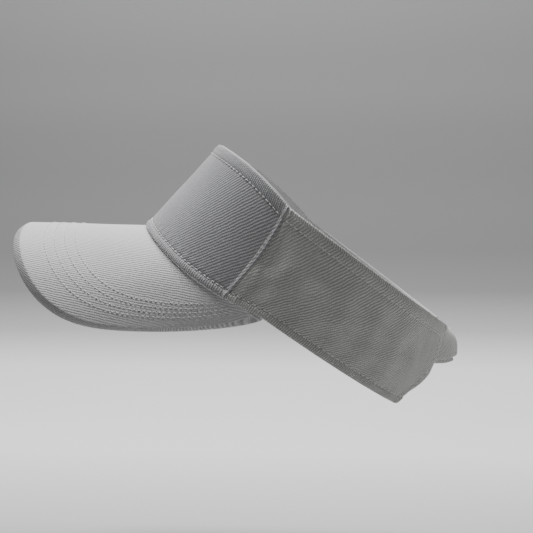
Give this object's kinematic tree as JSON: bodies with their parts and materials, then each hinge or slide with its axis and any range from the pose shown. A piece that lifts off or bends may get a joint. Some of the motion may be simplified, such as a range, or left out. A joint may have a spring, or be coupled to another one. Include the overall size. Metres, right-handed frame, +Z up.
{
  "type": "sun visor",
  "caption": "Cotton twill sun visor: an arched stitched brim, an open-topped cloth band and a hook-and-loop strap at the back.",
  "frame": {"origin": "middle of the head opening, on the object's mid plane", "axes": "+Z up as worn, with the brim level; the brim points along -Y and the wearer's left is +X"},
  "size_m": [0.162, 0.2822, 0.1633],
  "materials": {
    "twill": "white cotton twill",
    "lining": "plain woven cotton lining",
    "sweatband": "folded cotton sweatband",
    "stiffener": "open woven buckram",
    "thread": "polyester sewing thread",
    "insert": "moulded polyethylene board",
    "hook": "nylon hook tape",
    "loop": "brushed nylon loop tape",
    "label": "blank satin label"
  },
  "bodies": {
    "visor": {"front_panel": "twill", "left_side_panel": "twill", "right_side_panel": "twill", "front_stiffener": "stiffener", "front_lining": "lining", "left_side_lining": "lining", "right_side_lining": "lining", "left_seam_tape": "lining", "right_seam_tape": "lining", "sweatband": "sweatband", "care_label": "label", "brim_insert": "insert", "brim_top_cover": "twill", "brim_under_cover": "twill", "brim_stitch_row_1": "thread", "brim_stitch_row_2": "thread", "brim_stitch_row_3": "thread", "brim_stitch_row_4": "thread", "front_top_stitching": "thread", "left_top_stitching": "thread", "right_top_stitching": "thread", "front_lower_stitching": "thread", "left_lower_stitching": "thread", "right_lower_stitching": "thread", "left_seam_stitching": "thread", "right_seam_stitching": "thread", "left_end_stitching": "thread", "right_end_stitching": "thread", "closure_strap": "twill", "loop_tape": "loop", "right_tab": "twill", "strap_stitching": "thread"},
    "tail": {"strap_tail": "twill", "hook_tape": "hook", "tail_stitching": "thread"}
  },
  "joints": [
    {"name": "strap_peel", "type": "hinge", "parent": "visor", "child": "tail", "pos_m": [0.0064, 0.09024, -0.03317], "axis": [0.0613, -0.0218, -0.9979], "range_deg": [0, 120]}
  ]
}
